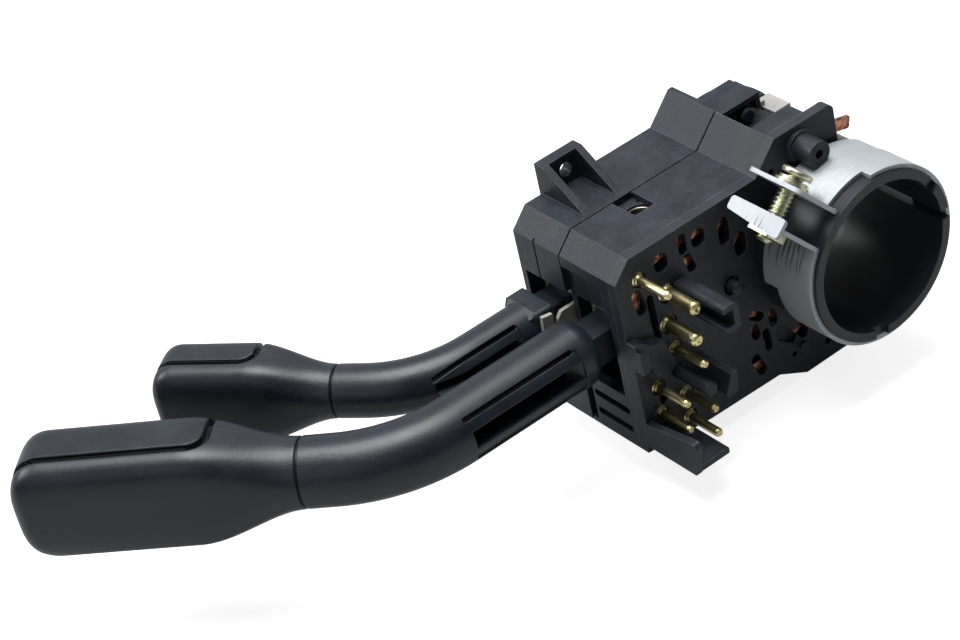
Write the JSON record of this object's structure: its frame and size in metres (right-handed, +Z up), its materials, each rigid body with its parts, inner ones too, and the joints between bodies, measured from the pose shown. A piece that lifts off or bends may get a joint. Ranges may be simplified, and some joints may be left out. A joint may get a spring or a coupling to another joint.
{
  "type": "combination stalk switch",
  "caption": "Steering-column combination switch: a clamp collar, a layered casing with terminal pins, and two bent stalks with paddle grips that turn and pull.",
  "frame": {"origin": "on the steering column's axis, at the front edge of the clamp band", "axes": "+X from the column out along the stalks' roots, +Y along the column away from the driver, +Z up"},
  "size_m": [0.2227, 0.1078, 0.0714],
  "materials": {
    "casing_plastic": "moulded, satin",
    "collar_plastic": "moulded, satin",
    "stalk_plastic": "fine grain",
    "ring_plastic": "satin",
    "band_steel": "zinc plated, passivated",
    "zinc_steel": "zinc plated",
    "terminal_brass": "turned",
    "strip_copper": "stamped copper alloy",
    "nylon": "natural",
    "spring_steel": "drawn wire",
    "pin_steel": "ground"
  },
  "bodies": {
    "casing": {"front_housing": "casing_plastic", "rear_housing": "casing_plastic", "terminal_plate": "casing_plastic", "column_collar": "collar_plastic", "clamp_band": "band_steel", "clamp_screw": "zinc_steel", "clamp_washers": "zinc_steel", "clamp_nut": "zinc_steel", "horn_tab": "strip_copper", "pivot_pin": "pin_steel", "cancel_pawl_post": "pin_steel", "cancel_pawl_spring": "spring_steel", "casing_screws": "zinc_steel", "small_terminal_pins": "terminal_brass", "large_terminal_pins": "terminal_brass", "main_detent_spring": "spring_steel", "small_detent_spring": "spring_steel", "left_turn_strip": "strip_copper", "flasher_feed_strip": "strip_copper", "supply_strip": "strip_copper", "right_turn_strip": "strip_copper", "flash_strip": "strip_copper", "dip_strip": "strip_copper", "main_beam_strip": "strip_copper", "parking_strip": "strip_copper", "wiper_feed_strip": "strip_copper", "wiper_return_strip": "strip_copper"},
    "main_fork": {"main_carrier": "nylon", "main_lever_pins": "pin_steel", "main_contact_bridge": "strip_copper"},
    "main_stalk": {"main_stalk_arm": "stalk_plastic", "main_neck_ring": "ring_plastic", "main_grip_shell": "stalk_plastic", "main_grip_cap": "stalk_plastic", "main_return_plunger": "nylon", "main_return_spring": "spring_steel"},
    "main_detent": {"main_detent_plunger": "nylon"},
    "small_fork": {"small_carrier": "nylon", "small_lever_pins": "pin_steel", "small_contact_bridge": "strip_copper"},
    "small_stalk": {"small_stalk_arm": "stalk_plastic", "small_neck_ring": "ring_plastic", "small_grip_shell": "stalk_plastic", "small_grip_cap": "stalk_plastic", "small_return_plunger": "nylon", "small_return_spring": "spring_steel"},
    "small_detent": {"small_detent_plunger": "nylon"},
    "pawl": {"cancel_pawl": "nylon"}
  },
  "joints": [
    {"name": "main_turn", "type": "hinge", "parent": "casing", "child": "main_fork", "pos_m": [0.047, -0.0315, -0.0005], "axis": [0, 1, 0], "range_deg": [-11, 11]},
    {"name": "main_pull", "type": "hinge", "parent": "main_fork", "child": "main_stalk", "pos_m": [0.056, -0.0315, -0.0005], "axis": [0, 0, -1], "range_deg": [0, 4.5], "stiffness_Nm_per_rad": 0.6, "springref_deg": -11.46},
    {"name": "main_detent_lift", "type": "slide", "parent": "casing", "child": "main_detent", "axis": [0, 0, 1], "range_m": [0, 0.0008], "stiffness_N_per_m": 1000, "springref_m": -0.001, "deforming": ["main_detent_spring"]},
    {"name": "small_turn", "type": "hinge", "parent": "casing", "child": "small_fork", "pos_m": [0.047, -0.05, -0.0005], "axis": [0, 1, 0], "range_deg": [-11, 11]},
    {"name": "small_pull", "type": "hinge", "parent": "small_fork", "child": "small_stalk", "pos_m": [0.056, -0.05, -0.0005], "axis": [0, 0, -1], "range_deg": [0, 5], "stiffness_Nm_per_rad": 0.6, "springref_deg": -11.46},
    {"name": "small_detent_lift", "type": "slide", "parent": "casing", "child": "small_detent", "axis": [0, 0, 1], "range_m": [0, 0.0008], "stiffness_N_per_m": 1000, "springref_m": -0.001, "deforming": ["small_detent_spring"]},
    {"name": "pawl_swing", "type": "hinge", "parent": "casing", "child": "pawl", "pos_m": [0.0033, -0.0439, 0.0278], "axis": [0, 1, 0], "range_deg": [-8, 8], "stiffness_Nm_per_rad": 0.02}
  ]
}
